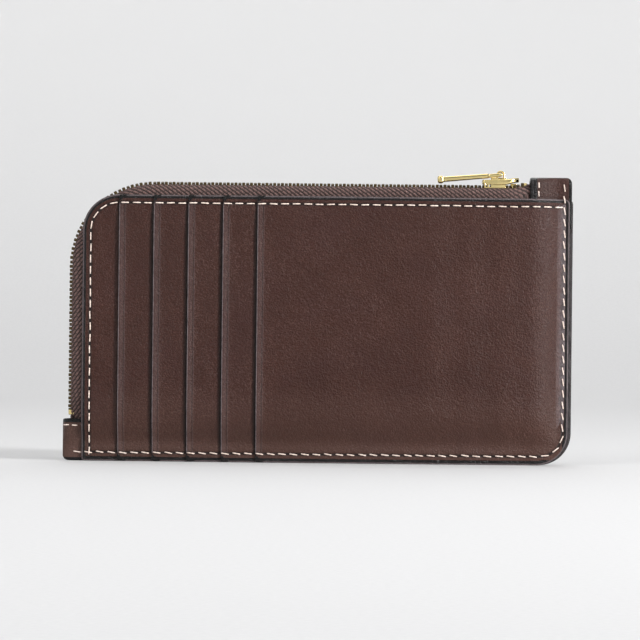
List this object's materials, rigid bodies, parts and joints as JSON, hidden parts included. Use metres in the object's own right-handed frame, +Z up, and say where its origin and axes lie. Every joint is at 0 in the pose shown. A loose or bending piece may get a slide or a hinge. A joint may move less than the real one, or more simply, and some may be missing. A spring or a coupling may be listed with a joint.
{
  "type": "zippered card case",
  "caption": "Slim leather card case with lengthways card slots on its front and one compartment that opens by a zip along the top and down one side.",
  "frame": {"origin": "under the middle of the bounding box, on the surface that the bottom edge stands on", "axes": "+Z up towards the zip, +X along the width towards the sewn right side, -Y out of the card slots' face"},
  "size_m": [0.1334, 0.0122, 0.0773],
  "materials": {
    "leather": "smooth, semi-matt",
    "leaf_leather": "smooth, semi-matt",
    "stiffener": "matt bonded fibre",
    "lining": "matt plain weave",
    "zip_tape": "twill weave",
    "thread": "waxed, twisted",
    "gold_metal": "polished"
  },
  "bodies": {
    "front_side": {"base_panel": "leather", "slot_leaf_1": "leaf_leather", "slot_leaf_2": "leaf_leather", "slot_leaf_3": "leaf_leather", "slot_leaf_4": "leaf_leather", "pocket_panel": "leather", "front_stiffener": "stiffener", "front_lining": "lining", "front_tape": "zip_tape", "front_teeth": "gold_metal", "tab_top_right": "leather", "tab_bottom_left": "leather", "tab_threads": "thread", "zip_seam_thread_front": "thread", "closing_seam_thread_front": "thread", "top_stop_front": "gold_metal", "top_stop_rear": "gold_metal", "bottom_stop": "gold_metal"},
    "rear_side": {"rear_panel": "leather", "rear_stiffener": "stiffener", "rear_lining": "lining", "rear_tape": "zip_tape", "rear_teeth": "gold_metal", "zip_seam_thread_rear": "thread", "closing_seam_thread_rear": "thread"},
    "slider": {"slider_body": "gold_metal", "slider_bridge": "gold_metal"},
    "pull": {"pull_tab": "gold_metal"}
  },
  "joints": [
    {"name": "zip_slide", "type": "slide", "parent": "front_side", "child": "slider", "axis": [-1, 0, 0], "range_m": [0, 0.082]},
    {"name": "mouth_open", "type": "hinge", "parent": "front_side", "child": "rear_side", "pos_m": [0, 0.00103, 0], "axis": [-1, 0, 0], "range_deg": [0, 15], "deforming": ["rear_tape", "rear_teeth"]},
    {"name": "pull_swing", "type": "hinge", "parent": "slider", "child": "pull", "pos_m": [0.0475, 0.00103, 0.07605], "axis": [0, 1, 0], "range_deg": [0, 165]}
  ],
  "couplings": [
    {"joint": "mouth_open", "follows": "zip_slide", "rad_per_m": 3.19}
  ]
}
